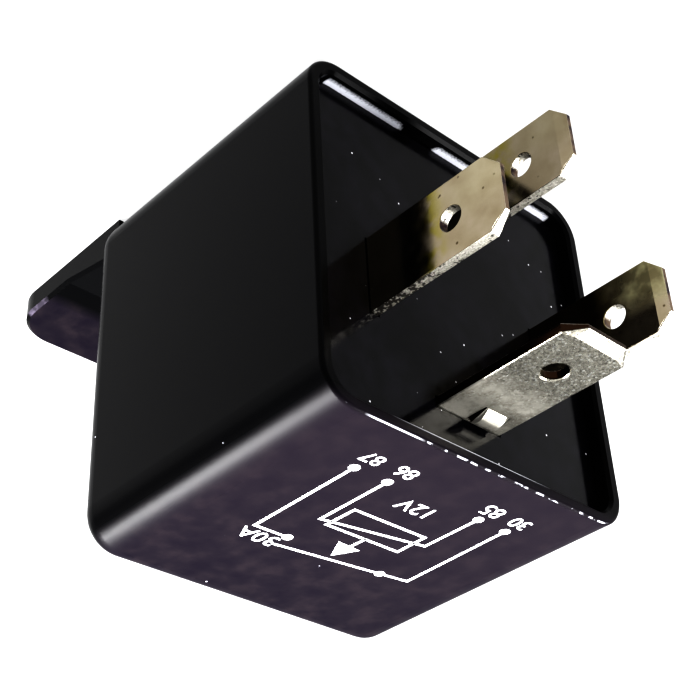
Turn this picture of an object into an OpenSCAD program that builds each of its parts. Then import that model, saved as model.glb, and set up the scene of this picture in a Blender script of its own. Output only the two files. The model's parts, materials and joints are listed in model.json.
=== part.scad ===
// Four-terminal automotive relay: a moulded cover with a mounting ear, a
// terminal base, and the electromagnet with its swinging armature inside.
//
// The relay lies on its back: the mounting face is the plane Z = 0, the marked
// face is on top, and the terminals point along +X. The origin is the centre
// of the ear's hole. All lengths are in millimetres.

/* [Cover] */
// Width of the cover across its two plain sides
cover_w = 29.5; // [28:0.5:40]
// Height of the cover from the mounting face to the marked face
cover_h = 30; // [29:0.5:40]
// Thickness of the cover's walls
cover_wall = 1.1; // [0.8:0.1:1.5]
// Radius of the four long edges
edge_r = 3; // [2:0.25:4.5]
// Radius of the edges round the closed end
end_r = 2; // [1.6:0.1:2.5]
// Radius of the outer edge round the open rim
rim_r = 0.3; // [0.1:0.05:0.5]
// Chamfer round the inside of the open rim
rim_chamfer = 0.25; // [0.1:0.05:0.4]
// Free height left between the rest stop and the closed end
head_room = 1.4; // [0.6:0.1:5]

/* [Mounting ear] */
// Width of the ear
ear_w = 27.7; // [16:0.1:29]
// Length of the ear beyond the closed end
ear_len = 14.2; // [12:0.1:20]
// Thickness of the ear at its free end
ear_t = 2.1; // [1.6:0.1:3]
// Radius of the ear's two free corners
ear_corner_r = 3.5; // [1:0.1:6]
// Length of the ramp that thickens the ear towards the cover
ear_ramp_len = 5.4; // [2:0.1:6]
// Rise of that ramp where it meets the cover
ear_ramp_rise = 1.1; // [0.4:0.1:2]
// Chamfer round the ear's upper edge
ear_chamfer = 0.3; // [0.1:0.05:0.6]
// Diameter of the ear's hole
ear_hole_d = 5.4; // [4.3:0.1:6.6]
// Distance from the hole's centre to the ear's free end
ear_hole_to_end = 6; // [5:0.1:8]

/* [Terminal blades] */
// Width of each blade
blade_w = 6.3; // [5.5:0.1:6.5]
// Thickness of each blade
blade_t = 0.8; // [0.6:0.05:1]
// Length of the blades beyond the cover's rim
blade_out = 11; // [8:0.25:14]
// Length and width of the chamfers at a blade's tip
tip_chamfer = 1.25; // [0.6:0.05:1.8]
// Thickness left at the end of a blade's bevelled tip
tip_t = 0.4; // [0.3:0.05:0.5]
// Length of the bevel on a blade's tip
tip_bevel = 1; // [0.5:0.1:2]
// Diameter of the detent hole in each blade
detent_d = 1.9; // [1.4:0.1:2.4]
// Distance from a blade's tip to its detent hole
detent_from_tip = 4.45; // [3.5:0.05:5.5]
// Distance between the two coil blades
coil_pitch = 17.1; // [16.6:0.1:18]
// Height of the coil blades above the middle of the cover
coil_blade_x = 2.3; // [1.5:0.1:3]
// Height of the switched blade above the middle of the cover
switched_blade_x = 10.2; // [9.9:0.1:10.8]
// Depth of the supply blade below the middle of the cover
supply_blade_x = 7.3; // [6.5:0.1:8]
// Width of the locking lance on the switched blade
lance_w = 2.2; // [1.4:0.1:3]
// Length of the locking lance
lance_len = 1.7; // [1:0.1:2.4]
// Rise of the lance's free end above the blade
lance_rise = 0.55; // [0.3:0.05:0.9]

/* [Base] */
// Depth of the base's outer face below the rim
rim_recess = 1.2; // [0.6:0.1:3]
// Thickness of the base's floor
base_t = 2.4; // [2:0.1:4]
// Gap between the base and the cover, on every side
base_fit = 0.15; // [0.1:0.05:0.3]
// Height of the base's upstand above its floor
upstand_h = 2.2; // [1.8:0.1:4]
// Thickness of the base's upstand
upstand_t = 1; // [0.8:0.1:1.4]
// Gap between a blade and its slot, on every side
slot_fit = 0.08; // [0.05:0.01:0.15]
// Reach of the snap noses beyond the upstand
nose_out = 0.5; // [0.35:0.05:0.6]
// Width of each snap nose
nose_w = 4; // [2:0.5:6]

/* [Magnet] */
// Outer diameter of the copper winding
winding_d = 15.6; // [12:0.2:16.4]
// Length of the copper winding
winding_len = 11.6; // [9:0.2:16]
// Thickness of the tape round the winding
tape_t = 0.1; // [0.05:0.05:0.2]
// Diameter of the iron core
core_d = 6; // [4:0.2:7]
// Diameter of the core's pole face
pole_d = 9; // [7.4:0.2:10]
// Thickness of the pole face
pole_t = 1; // [0.8:0.1:1.6]
// Gap between the bobbin and the switched terminal's arm
arm_fit = 0.9; // [0.5:0.05:1.4]
// Thickness of the bobbin's tube
tube_t = 0.7; // [0.5:0.1:1.2]
// Thickness of the bobbin's flanges
flange_t = 1; // [0.8:0.1:1.6]
// Reach of the bobbin's flanges beyond the winding
flange_out = 0.8; // [0.5:0.1:1.2]
// Thickness of the steel yoke
yoke_t = 1.5; // [1.2:0.1:2]
// Width of the yoke
yoke_w = 13; // [12:0.2:13.6]
// Outer radius of the yoke's bend
yoke_bend_r = 1.9; // [1.6:0.1:3]
// Gap between the bobbin and the yoke's leg
leg_fit = 0.4; // [0.2:0.05:0.8]

/* [Armature and contacts] */
// Thickness of the armature
armature_t = 1.4; // [1:0.1:2]
// Gap left over the pole when the relay is closed
pole_gap = 0.15; // [0.05:0.05:0.4]
// Opening between the two contacts at rest
contact_gap = 0.8; // [0.4:0.05:1.2]
// Diameter of the two contact heads
contact_d = 3; // [2:0.1:3.4]
// Thickness of the moving contact's head
moving_head_t = 1; // [0.6:0.1:1.4]
// Thickness of the contact blade
leaf_t = 0.3; // [0.2:0.05:0.5]
// Width of the contact blade at its contact
leaf_w = 5; // [4:0.1:6]
// Thickness of the rest stop
stop_t = 1.5; // [1:0.1:2.5]
// Outer diameter of the return spring
spring_od = 1.8; // [1.4:0.1:2]
// Wire diameter of the return spring
spring_wire = 0.3; // [0.2:0.05:0.35]
// Thickness of the braided lead
braid_t = 0.8; // [0.5:0.1:1]
// Width of the braided lead
braid_w = 2.2; // [1.4:0.1:2.6]
// Wire diameter of the coil's two leads
lead_wire = 0.3; // [0.2:0.05:0.4]

/* [Hidden] */
$fn = 64;
eps = 0.01;
hair_fit = 0.05; // closest gap between two pieces of the works
part_fit = 0.1;  // usual gap between two pieces of the works

// Depths below the rim, from the base up through the magnet to the closed end.
base_in = rim_recess + base_t;
foot_top = base_in + yoke_t;
winding_z = foot_top + flange_t;
flange_top = winding_z + winding_len + flange_t;
pole_face = flange_top + pole_t;
leg_top = pole_face + pole_gap;
hinge_z = leg_top + hair_fit;
leaf_z = hinge_z + armature_t;
leaf_top = leaf_z + leaf_t;

// Heights above the middle of the cover, from the switched terminal's arm down
// to the yoke's leg. The magnet sits between the two.
foot_out = 1.8;    // reach of the yoke's foot beyond the core
pole_lap = 0.2;    // reach of the armature beyond the pole face
contact_fit = 0.7; // gap between the contacts and the arm beside them
leaf_lap = 0.4;    // length of the leaf's end beyond its contact
arm_in_x = switched_blade_x - blade_t / 2;
arm_out_x = switched_blade_x + blade_t / 2;
flange_r = winding_d / 2 + flange_out;
core_x = arm_in_x - arm_fit - flange_r;
leg_in_x = core_x - flange_r - leg_fit;
hinge_x = leg_in_x - yoke_t;
foot_end_x = core_x + core_d / 2 + foot_out;
armature_end_x = core_x + pole_d / 2 + pole_lap;
contact_x = arm_in_x - contact_fit - contact_d / 2;
stop_x = contact_x + contact_d / 2;
leaf_end_x = stop_x + leaf_lap;

// The contacts meet this far before the armature would touch its pole.
shelf_z = flange_top + part_fit;
contact_clear = 0.02;
fixed_top = leaf_z - moving_head_t - contact_clear;
open_deg = atan((contact_gap + contact_clear) / (contact_x - hinge_x));
rivet_peen_t = 0.4;

// The highest point that the leaf reaches at rest, then the stop over it.
leaf_rest_z = hinge_z + (leaf_end_x - hinge_x) * sin(open_deg) + (armature_t + leaf_t) * cos(open_deg);
stop_z = leaf_rest_z + hair_fit;
stop_top = stop_z + stop_t;
cover_depth = stop_top + head_room + cover_wall;
rim_x = ear_len - ear_hole_to_end + cover_depth;

inner_r = max(edge_r - cover_wall, 0.4);
inner_end_r = max(end_r - cover_wall, 0.3);
coil_y = coil_pitch / 2;
base_w = cover_w - 2 * (cover_wall + base_fit);
base_h = cover_h - 2 * (cover_wall + base_fit);
base_r = max(inner_r - base_fit, 0.3);
upstand_top = base_in + upstand_h;
nose_z = base_in + 0.3;
nose_h = upstand_h - 0.8;
nose_x = [-base_h / 4, base_h / 4];
rib_x = nose_x;

// Ends of the terminals inside the base. The coil terminals' tags stand just
// clear of the bobbin's flanges and carry a few turns of the coil's leads.
tenon_w = 3.2;
tag_w = 1.4;
tag_fit = 0.35;
wrap_lift = 0.3; // height of the first turn above the bobbin's flange
wrap_turns = 3;
tag_side = sqrt(max(pow(flange_r + tag_fit, 2) - pow(coil_y - blade_t / 2, 2), 0));
tag_x = core_x + tag_side + tag_w / 2;
tag_top = winding_z + wrap_lift + (wrap_turns + 2) * lead_wire;
shoulder_out = 0.75;

// The core is riveted into the yoke's foot.
rivet_d = core_d + 0.4;
rivet_t = 0.6;
neck_d = core_d - 1.4;

// The pivot: two prongs beside the armature's neck, and the thin tail behind
// it. The return spring hangs midway between the leg and the cover's wall, in
// an eye of the tail and an eye of the yoke's tab.
prong_w = 1.5;
prong_h = 1.1;
neck_w = yoke_w - 2 * prong_w - 2 * part_fit;
tail_w = 3.2;
hook_t = 0.8;
hook_z = winding_z + 0.35 * winding_len;
eye_d = 0.9;
eye_edge = 0.42;
spring_x = (hinge_x - cover_h / 2 + cover_wall) / 2;
loop_r = (spring_od - spring_wire) / 2 - hair_fit;
tail_x = spring_x + loop_r - eye_d / 2 - eye_edge;

// Rivets that hold the leaf on the armature.
shank_d = 1.6;
shank_at = [core_x - pole_d / 3, neck_w / 4];
peen_out = 0.5; // reach of a rivet's head beyond its shank

// The braided lead's path beside the yoke's leg.
braid_y = (tail_w + neck_w) / 4;
braid_laid = [0.4 * winding_len, 0.6 * winding_len];
braid_off = 0.6;    // distance from the leg where it hangs free
braid_jog = 1.5;    // height over which it leaves the leg
braid_bend_r = 2.2; // radius of its bend over the pivot
land_fit = 1.3;     // gap between its end and the rivets' heads

// The working parts are drawn with z running down into the cover from its rim,
// x towards the marked face and y across the cover.
module from_rim() {
  translate([rim_x, 0, cover_h / 2]) rotate([0, -90, 0]) children();
}

// The armature and what it carries are drawn closed, then swung to rest.
module at_rest() {
  from_rim() translate([hinge_x, 0, hinge_z]) rotate([0, -open_deg, 0])
    translate([-hinge_x, 0, -hinge_z]) children();
}

module both_sides() {
  children();
  mirror([0, 1, 0]) children();
}

module rounded_rect(size, r) {
  square([size.x, size.y - 2 * r], center = true);
  square([size.x - 2 * r, size.y], center = true);
  for (x = [-1, 1], y = [-1, 1])
    translate([x * (size.x / 2 - r), y * (size.y / 2 - r)]) circle(r);
}

// A side view of a block of width w and height h, rounded by r0 at the foot
// and r1 at the top.
module soft_side(w, h, r0, r1) {
  translate([-w / 2, r0]) square([w, h - r0 - r1]);
  translate([-w / 2 + r0, 0]) square([w - 2 * r0, h / 2]);
  translate([-w / 2 + r1, h / 2]) square([w - 2 * r1, h / 2]);
  for (side = [-1, 1]) {
    translate([side * (w / 2 - r0), r0]) circle(r0);
    translate([side * (w / 2 - r1), h - r1]) circle(r1);
  }
}

// A post of radius r whose two ends are rounded by r0 and r1.
module soft_post(r, h, r0, r1) {
  rotate_extrude() intersection() {
    soft_side(2 * r, h, r0, r1);
    square([r, h]);
  }
}

// A block with long edges of radius r and softened ends.
module soft_block(size, r, r0, r1) {
  for (x = [-1, 1], y = [-1, 1])
    translate([x * (size.x / 2 - r), y * (size.y / 2 - r), 0])
      soft_post(r, size.z, r0, r1);
  rotate([90, 0, 0]) linear_extrude(size.y - 2 * r, center = true)
    soft_side(size.x, size.z, r0, r1);
  rotate([90, 0, 90]) linear_extrude(size.x - 2 * r, center = true)
    soft_side(size.y, size.z, r0, r1);
}

// A shallow funnel that chamfers the inside of the open rim.
module rim_flare(size, r) {
  c = rim_chamfer;
  for (x = [-1, 1], y = [-1, 1])
    translate([x * (size.x / 2 - r), y * (size.y / 2 - r), -c])
      cylinder(r1 = r + 2 * c, r2 = r, h = 2 * c);
  rotate([90, 0, 0]) linear_extrude(size.y - 2 * r, center = true)
    polygon([[-size.x / 2 - 2 * c, -c], [size.x / 2 + 2 * c, -c], [size.x / 2, c], [-size.x / 2, c]]);
  rotate([90, 0, 90]) linear_extrude(size.x - 2 * r, center = true)
    polygon([[-size.y / 2 - 2 * c, -c], [size.y / 2 + 2 * c, -c], [size.y / 2, c], [-size.y / 2, c]]);
}

// A bar of height h whose two upper edges are chamfered by c.
module chamfered_section(w, h, c) {
  polygon([[-w / 2, 0], [w / 2, 0], [w / 2, h - c], [w / 2 - c, h], [-w / 2 + c, h], [-w / 2, h - c]]);
}

// The ear: a plate flush with the mounting face, thickened by a ramp where it
// leaves the closed end.
module ear() {
  root = cover_depth - end_r;
  reach = end_r + ear_len;
  face = -cover_h / 2;
  c = ear_chamfer;
  translate([face, 0, root]) rotate([90, 0, 90]) {
    translate([0, reach - ear_corner_r, 0]) rotate([90, 0, 0])
      linear_extrude(reach - ear_corner_r) chamfered_section(ear_w, ear_t, c);
    rotate([90, 0, 90]) linear_extrude(ear_w - 2 * ear_corner_r, center = true)
      polygon([[0, 0], [reach, 0], [reach, ear_t - c], [reach - c, ear_t], [0, ear_t]]);
    for (side = [-1, 1])
      translate([side * (ear_w / 2 - ear_corner_r), reach - ear_corner_r, 0]) {
        cylinder(r = ear_corner_r, h = ear_t - c);
        translate([0, 0, ear_t - c]) cylinder(r1 = ear_corner_r, r2 = ear_corner_r - c, h = c);
      }
  }
  // The ramp: a chamfered bar along the slope, cut off square at both ends.
  slope = atan(ear_ramp_rise / ear_ramp_len);
  bar_h = ear_t + 2 * ear_ramp_rise + end_r;
  intersection() {
    translate([face + ear_t / 2, -ear_w, root])
      cube([bar_h, 2 * ear_w, ear_ramp_len + end_r]);
    translate([face + ear_t, 0, cover_depth + ear_ramp_len]) rotate([0, -slope, 0])
      translate([-bar_h, 0, 0]) rotate([0, 0, 90]) mirror([0, 1, 0])
        linear_extrude(4 * ear_len, center = true) chamfered_section(ear_w, bar_h, c);
  }
}

// Four ribs inside the plain sides stop the base when it is pressed home.
module seat_ribs() {
  rib_w = 1.2;
  rib_out = 0.8;
  rib_len = 7;
  both_sides() for (x = rib_x)
    translate([x - rib_w / 2, 0, 0])
      rotate([90, 0, 90]) linear_extrude(rib_w)
        polygon([[cover_w / 2 - cover_wall / 2, upstand_top + hair_fit],
                 [cover_w / 2 - cover_wall - rib_out, upstand_top + hair_fit],
                 [cover_w / 2 - cover_wall - rib_out, upstand_top + rib_len / 2],
                 [cover_w / 2 - cover_wall / 2, upstand_top + rib_len]]);
}

module cover() {
  color("#1b1b1d") from_rim() {
    difference() {
      union() {
        soft_block([cover_h, cover_w, cover_depth], edge_r, rim_r, end_r);
        ear();
      }
      translate([0, 0, -rim_r]) soft_block(
        [cover_h - 2 * cover_wall, cover_w - 2 * cover_wall, cover_depth - cover_wall + rim_r],
        inner_r, rim_r, inner_end_r);
      rim_flare([cover_h - 2 * cover_wall, cover_w - 2 * cover_wall], inner_r);
      // Pockets for the base's snap noses.
      both_sides() for (x = nose_x)
        translate([x - nose_w / 2 - part_fit, cover_w / 2 - cover_wall - eps, nose_z - part_fit])
          cube([nose_w + 2 * part_fit, nose_out, nose_h + 2 * part_fit]);
      // The ear's hole, along the thickness of the ear.
      translate([-cover_h / 2 - 1, 0, cover_depth + ear_len - ear_hole_to_end])
        rotate([0, 90, 0]) cylinder(d = ear_hole_d, h = ear_t + ear_ramp_rise + 2);
    }
    seat_ribs();
  }
}

// A blade's outline: x across it and y along it, from its tip to inner_z.
module blade_outline(inner_z) {
  half = blade_w / 2;
  polygon([[-half, inner_z], [-half, -blade_out + tip_chamfer],
           [-half + tip_chamfer, -blade_out], [half - tip_chamfer, -blade_out],
           [half, -blade_out + tip_chamfer], [half, inner_z]]);
}

// A blade standing along z, its width along x, bevelled at the tip and drilled
// for a socket's detent. Children are outlines joined to it on the inside.
module blade(inner_z) {
  tip = -blade_out;
  difference() {
    intersection() {
      rotate([90, 0, 0]) linear_extrude(blade_t, center = true) {
        blade_outline(inner_z);
        children();
      }
      rotate([90, 0, 90]) linear_extrude(2 * cover_h, center = true)
        polygon([[-tip_t / 2, tip], [tip_t / 2, tip],
                 [blade_t / 2, tip + tip_bevel], [blade_t / 2, cover_depth],
                 [-blade_t / 2, cover_depth], [-blade_t / 2, tip + tip_bevel]]);
    }
    translate([0, 0, tip + detent_from_tip]) rotate([90, 0, 0])
      cylinder(d = detent_d, h = 2 * blade_t, center = true);
  }
}

module supply_terminal() {
  color("#c9bda3") from_rim() translate([-supply_blade_x, 0, 0]) blade(base_in)
    translate([-tenon_w / 2, base_in - eps]) square([tenon_w, yoke_t + eps]);
}

// Each coil blade has shoulders on the base's inner face and a narrow tag that
// rises past the bobbin, where the coil's lead is wound on.
module coil_terminal(side) {
  shoulder_h = 1.1;
  low_x = -blade_w / 2 - shoulder_out;
  high_x = max(blade_w / 2, tag_x + tag_w / 2 - coil_blade_x) + shoulder_out;
  color("#c9bda3") from_rim() translate([coil_blade_x, side * coil_y, 0])
    blade(base_in + eps) {
      translate([low_x, base_in]) square([high_x - low_x, shoulder_h]);
      translate([tag_x - tag_w / 2 - coil_blade_x, base_in]) square([tag_w, tag_top - base_in]);
    }
}

module coil_terminal_left() coil_terminal(1);
module coil_terminal_right() coil_terminal(-1);

// The switched blade runs up past the coil as an arm and folds inwards into
// the shelf that carries the fixed contact.
module switched_terminal() {
  fold_r = 0.6;
  lance_z = rim_recess - 0.2 - lance_len;
  lance_y = -0.85;
  shelf_in_x = contact_x - contact_d / 2 - 0.5;
  color("#d6d4cf") from_rim() {
    difference() {
      union() {
        translate([switched_blade_x, 0, 0]) rotate([0, 0, 90])
          blade(shelf_z + blade_t - fold_r - blade_t / 2);
        rotate([90, 0, 0]) linear_extrude(blade_w, center = true) {
          intersection() {
            translate([arm_out_x - fold_r - blade_t / 2, shelf_z + blade_t / 2 - fold_r])
              circle(fold_r + blade_t / 2);
            translate([arm_out_x - fold_r - blade_t / 2, shelf_z + blade_t / 2 - fold_r])
              square(fold_r + blade_t);
          }
          translate([shelf_in_x, shelf_z])
            square([arm_out_x - fold_r - blade_t / 2 - shelf_in_x, blade_t]);
        }
      }
      // Window left by the lance, and the rivet hole of the fixed contact.
      translate([arm_in_x - 1, lance_y - lance_w / 2 - part_fit, lance_z])
        cube([blade_t + 2, lance_w + 2 * part_fit, lance_len]);
      translate([contact_x, 0, shelf_z - 1]) cylinder(d = contact_d / 2, h = blade_t + 2);
    }
    translate([0, lance_y, 0]) rotate([90, 0, 0]) linear_extrude(lance_w, center = true)
      polygon([[arm_in_x, lance_z - eps], [arm_out_x, lance_z - eps],
               [arm_out_x + lance_rise, lance_z + lance_len - part_fit],
               [arm_out_x + lance_rise - blade_t * 0.8, lance_z + lance_len - part_fit]]);
  }
}

// The base: a floor with four slots, an upstand with snap noses, ribs beside
// the yoke's foot, and the portal that stops the contact leaf at rest.
module base() {
  post_t = 1.7;
  post_y = blade_w / 2 + 0.3;
  post_depth = arm_out_x - stop_x + 0.6;
  rib_t = 0.8;
  color("#141416") from_rim() {
    difference() {
      translate([0, 0, rim_recess]) linear_extrude(base_t + upstand_h)
        rounded_rect([base_h, base_w], base_r);
      translate([0, 0, base_in]) linear_extrude(upstand_h + 1)
        rounded_rect([base_h - 2 * upstand_t, base_w - 2 * upstand_t], max(base_r - upstand_t, 0.3));
      slot(-supply_blade_x, 0, 0);
      slot(switched_blade_x, 0, 90);
      for (side = [-1, 1]) slot(coil_blade_x, side * coil_y, 0);
      // Pocket for the riveted end of the core.
      translate([core_x, 0, base_in - rivet_t - part_fit])
        cylinder(d = rivet_d + 2 * part_fit, h = rivet_t + 1);
    }
    // Snap noses on the plain sides, rising from the rim side to a flat top.
    both_sides() for (x = nose_x)
      translate([x - nose_w / 2, 0, 0]) rotate([90, 0, 90])
        linear_extrude(nose_w)
          polygon([[base_w / 2 - eps, nose_z], [base_w / 2 + nose_out - part_fit, nose_z],
                   [base_w / 2 + nose_out - part_fit, nose_z + 0.3], [base_w / 2 - eps, nose_z + nose_h]]);
    // Ribs that hold the yoke's foot sideways.
    both_sides() translate([hinge_x + yoke_bend_r, yoke_w / 2 + part_fit, base_in - eps])
      cube([foot_end_x - hinge_x - yoke_bend_r, rib_t, yoke_t]);
    // Portal: two posts and the bar that the leaf rests against.
    both_sides() translate([stop_x, post_y, base_in - eps])
      cube([post_depth, post_t, stop_top - base_in + eps]);
    translate([stop_x, -post_y - post_t, stop_z])
      cube([post_depth, 2 * (post_y + post_t), stop_t]);
  }
}

module slot(x, y, turn) {
  translate([x, y, 0]) rotate([0, 0, turn]) translate([0, 0, rim_recess + base_t / 2])
    cube([blade_w + 2 * slot_fit, blade_t + 2 * slot_fit, base_t + 2], center = true);
}

// The yoke: a foot under the coil, a bend, and a leg whose top edge is the
// armature's pivot. A tab bent out of the leg holds the return spring.
module yoke() {
  window_h = 2.6;
  tab_w = tail_w;
  color("#9a9ca0") from_rim() difference() {
    union() {
      rotate([90, 0, 0]) linear_extrude(yoke_w, center = true) difference() {
        union() {
          translate([hinge_x + yoke_bend_r, base_in])
            square([foot_end_x - hinge_x - yoke_bend_r, yoke_t]);
          translate([hinge_x, base_in + yoke_bend_r])
            square([yoke_t, leg_top - base_in - yoke_bend_r]);
          translate([hinge_x + yoke_bend_r, base_in + yoke_bend_r]) circle(yoke_bend_r);
        }
        translate([leg_in_x, foot_top]) square(yoke_bend_r * 2);
      }
      both_sides() translate([hinge_x, yoke_w / 2 - prong_w, leg_top - eps])
        cube([yoke_t, prong_w, prong_h]);
      translate([tail_x, -tab_w / 2, hook_z]) cube([leg_in_x - tail_x, tab_w, hook_t]);
    }
    translate([core_x, 0, base_in - 1]) cylinder(d = neck_d, h = yoke_t + 2);
    translate([-supply_blade_x, 0, base_in])
      cube([tenon_w + part_fit, blade_t + part_fit, 2 * yoke_t + 2], center = true);
    translate([hinge_x - 1, -tab_w / 2, hook_z - window_h]) cube([yoke_t + 2, tab_w, window_h]);
    eye(hook_z);
  }
}

// A hole near the edge of a tab, for the loop of the return spring.
module eye(z) {
  translate([spring_x + loop_r, 0, z - 1]) cylinder(d = eye_d, h = armature_t + 2);
}

module core() {
  color("#8f9196") from_rim() translate([core_x, 0, 0]) {
    translate([0, 0, base_in - rivet_t]) cylinder(d = rivet_d, h = rivet_t);
    translate([0, 0, base_in - eps]) cylinder(d = neck_d, h = yoke_t + 2 * eps);
    translate([0, 0, foot_top]) cylinder(d = core_d, h = flange_top - foot_top + eps);
    translate([0, 0, flange_top]) cylinder(d = pole_d, h = pole_t);
  }
}

module bobbin() {
  bore_d = core_d + 2 * part_fit;
  lug_wall = 1.2;
  lug_w = tag_w + 2 * lug_wall;
  lug_reach = coil_y + blade_t / 2 + lug_wall;
  color("#2d2a28") from_rim() difference() {
    union() {
      translate([core_x, 0, foot_top]) cylinder(r = flange_r, h = flange_t);
      translate([core_x, 0, foot_top]) cylinder(d = bore_d + 2 * tube_t, h = flange_top - foot_top);
      translate([core_x, 0, flange_top - flange_t]) cylinder(r = flange_r, h = flange_t);
      translate([tag_x - lug_w / 2, -lug_reach, foot_top]) cube([lug_w, 2 * lug_reach, flange_t]);
    }
    translate([core_x, 0, foot_top - 1]) cylinder(d = bore_d, h = flange_top - foot_top + 2);
    for (side = [-1, 1])
      translate([tag_x, side * coil_y, foot_top])
        cube([tag_w + part_fit, blade_t + part_fit, 4 * flange_t], center = true);
  }
}

// A sleeve that fills the bobbin between its flanges.
module sleeve(r_in, r_out) {
  translate([core_x, 0, winding_z + hair_fit]) difference() {
    cylinder(r = r_out, h = winding_len - 2 * hair_fit);
    translate([0, 0, -1]) cylinder(r = r_in, h = winding_len + 2);
  }
}

module coil_winding() {
  color("#b4622d") from_rim() sleeve(core_d / 2 + part_fit + tube_t + hair_fit, winding_d / 2);
}

module coil_tape() {
  tape_in = winding_d / 2 + hair_fit;
  color("#d9b23c") from_rim() sleeve(tape_in, tape_in + tape_t);
}

// A coil's lead: a few turns wound on the tag, then a run that ends just clear
// of the winding's tape.
module coil_lead(side) {
  wrap_z = winding_z + wrap_lift;
  inner = [tag_w + part_fit, blade_t + part_fit];
  outer = inner + [2 * lead_wire, 2 * lead_wire];
  start_y = coil_y - outer.y / 2 + lead_wire / 2;
  reach = winding_d / 2 + tape_t + 2 * hair_fit;
  near_x = max(tag_x - core_x - lead_wire / 2, 0);
  end_y = sqrt(pow(reach, 2) - pow(near_x, 2));
  color("#c07a45") from_rim() mirror([0, (1 - side) / 2, 0]) {
    translate([tag_x, coil_y, 0]) for (i = [0:wrap_turns - 1])
      translate([0, 0, wrap_z + i * lead_wire * 0.95]) linear_extrude(lead_wire) difference() {
        square(outer, center = true);
        square(inner, center = true);
      }
    translate([tag_x, start_y, wrap_z + lead_wire / 2]) rotate([90, 0, 0])
      cylinder(d = lead_wire * 0.9, h = start_y - end_y);
  }
}

module coil_lead_left() coil_lead(1);
module coil_lead_right() coil_lead(-1);

module fixed_contact() {
  color("#d9d9de") from_rim() translate([contact_x, 0, 0]) {
    translate([0, 0, shelf_z + blade_t]) cylinder(d = contact_d, h = fixed_top - shelf_z - blade_t);
    translate([0, 0, shelf_z]) cylinder(d = contact_d / 2 - 2 * hair_fit, h = blade_t + eps);
  }
}

// The armature: a plate over the pole, necked between the yoke's prongs, with
// a thin tail behind the pivot for the return spring.
module armature() {
  body_x = leg_in_x + part_fit;
  corner_r = 2;
  color("#a4a6ab") at_rest() difference() {
    union() {
      translate([0, 0, hinge_z]) linear_extrude(armature_t) {
        translate([body_x, -yoke_w / 2]) square([armature_end_x - corner_r - body_x, yoke_w]);
        translate([body_x, -yoke_w / 2 + corner_r]) square([armature_end_x - body_x, yoke_w - 2 * corner_r]);
        for (side = [-1, 1])
          translate([armature_end_x - corner_r, side * (yoke_w / 2 - corner_r)]) circle(corner_r);
        translate([hinge_x, -neck_w / 2]) square([body_x - hinge_x + eps, neck_w]);
      }
      translate([tail_x, -tail_w / 2, hinge_z]) cube([hinge_x - tail_x + eps, tail_w, hook_t]);
    }
    eye(hinge_z);
    for (side = [-1, 1])
      translate([shank_at.x, side * shank_at.y, hinge_z - 1]) cylinder(d = shank_d, h = armature_t + 2);
  }
}

// The contact leaf: wide where it is riveted to the armature, narrow at its
// contact.
module contact_leaf() {
  heel_x = leg_in_x + 3 * part_fit;
  heel_w = neck_w - 4 * part_fit;
  step_x = [core_x - 0.5, core_x + 1];
  color("#c98f4e") at_rest() difference() {
    translate([0, 0, leaf_z]) linear_extrude(leaf_t)
      polygon([[heel_x, -heel_w / 2], [step_x[0], -heel_w / 2], [step_x[1], -leaf_w / 2],
               [leaf_end_x, -leaf_w / 2], [leaf_end_x, leaf_w / 2], [step_x[1], leaf_w / 2],
               [step_x[0], heel_w / 2], [heel_x, heel_w / 2]]);
    translate([contact_x, 0, leaf_z - 1]) cylinder(d = contact_d / 2, h = leaf_t + 2);
    for (side = [-1, 1])
      translate([shank_at.x, side * shank_at.y, leaf_z - 1]) cylinder(d = shank_d, h = leaf_t + 2);
  }
}

module leaf_rivets() {
  color("#b8a878") at_rest() for (side = [-1, 1])
    translate([shank_at.x, side * shank_at.y, 0]) {
      translate([0, 0, hinge_z]) cylinder(d = shank_d - 2 * hair_fit, h = leaf_top - hinge_z + eps);
      translate([0, 0, leaf_top]) cylinder(d = shank_d + 2 * peen_out, h = rivet_peen_t);
    }
}

module moving_contact() {
  color("#d9d9de") at_rest() translate([contact_x, 0, 0]) {
    translate([0, 0, leaf_z - moving_head_t]) cylinder(d = contact_d, h = moving_head_t);
    translate([0, 0, leaf_z - eps]) cylinder(d = contact_d / 2 - 2 * hair_fit, h = leaf_t + 2 * eps);
    translate([0, 0, leaf_top]) cylinder(d = contact_d * 0.7, h = rivet_peen_t);
  }
}

// The return spring: close-wound turns drawn as one revolved row, with a loop
// at each end through the eyes of the yoke's tab and the armature's tail.
module return_spring() {
  tail_drop = (hinge_x - spring_x) * sin(open_deg);
  low_z = hook_z + hook_t / 2;
  high_z = hinge_z + hook_t / 2 - tail_drop;
  body_low = low_z + loop_r + spring_wire * 0.8;
  body_high = high_z - loop_r - spring_wire * 0.8;
  turns = floor((body_high - body_low) / (spring_wire * 0.9));
  color("#7d8087") from_rim() translate([spring_x, 0, 0]) {
    rotate_extrude() for (i = [0:turns])
      translate([spring_od / 2 - spring_wire / 2, body_low + i * (body_high - body_low) / turns])
        circle(d = spring_wire, $fn = 8);
    for (z = [low_z, high_z])
      translate([0, 0, z]) rotate([90, 0, 0]) rotate_extrude()
        translate([loop_r, 0]) circle(d = spring_wire, $fn = 8);
    // Short legs join the loops to the first and last turns.
    for (z = [low_z + loop_r, high_z - loop_r])
      translate([0, 0, z]) rotate([90, 0, 90])
        linear_extrude(spring_wire, center = true)
          square([spring_od - spring_wire, spring_wire * 1.4], center = true);
  }
}

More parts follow.
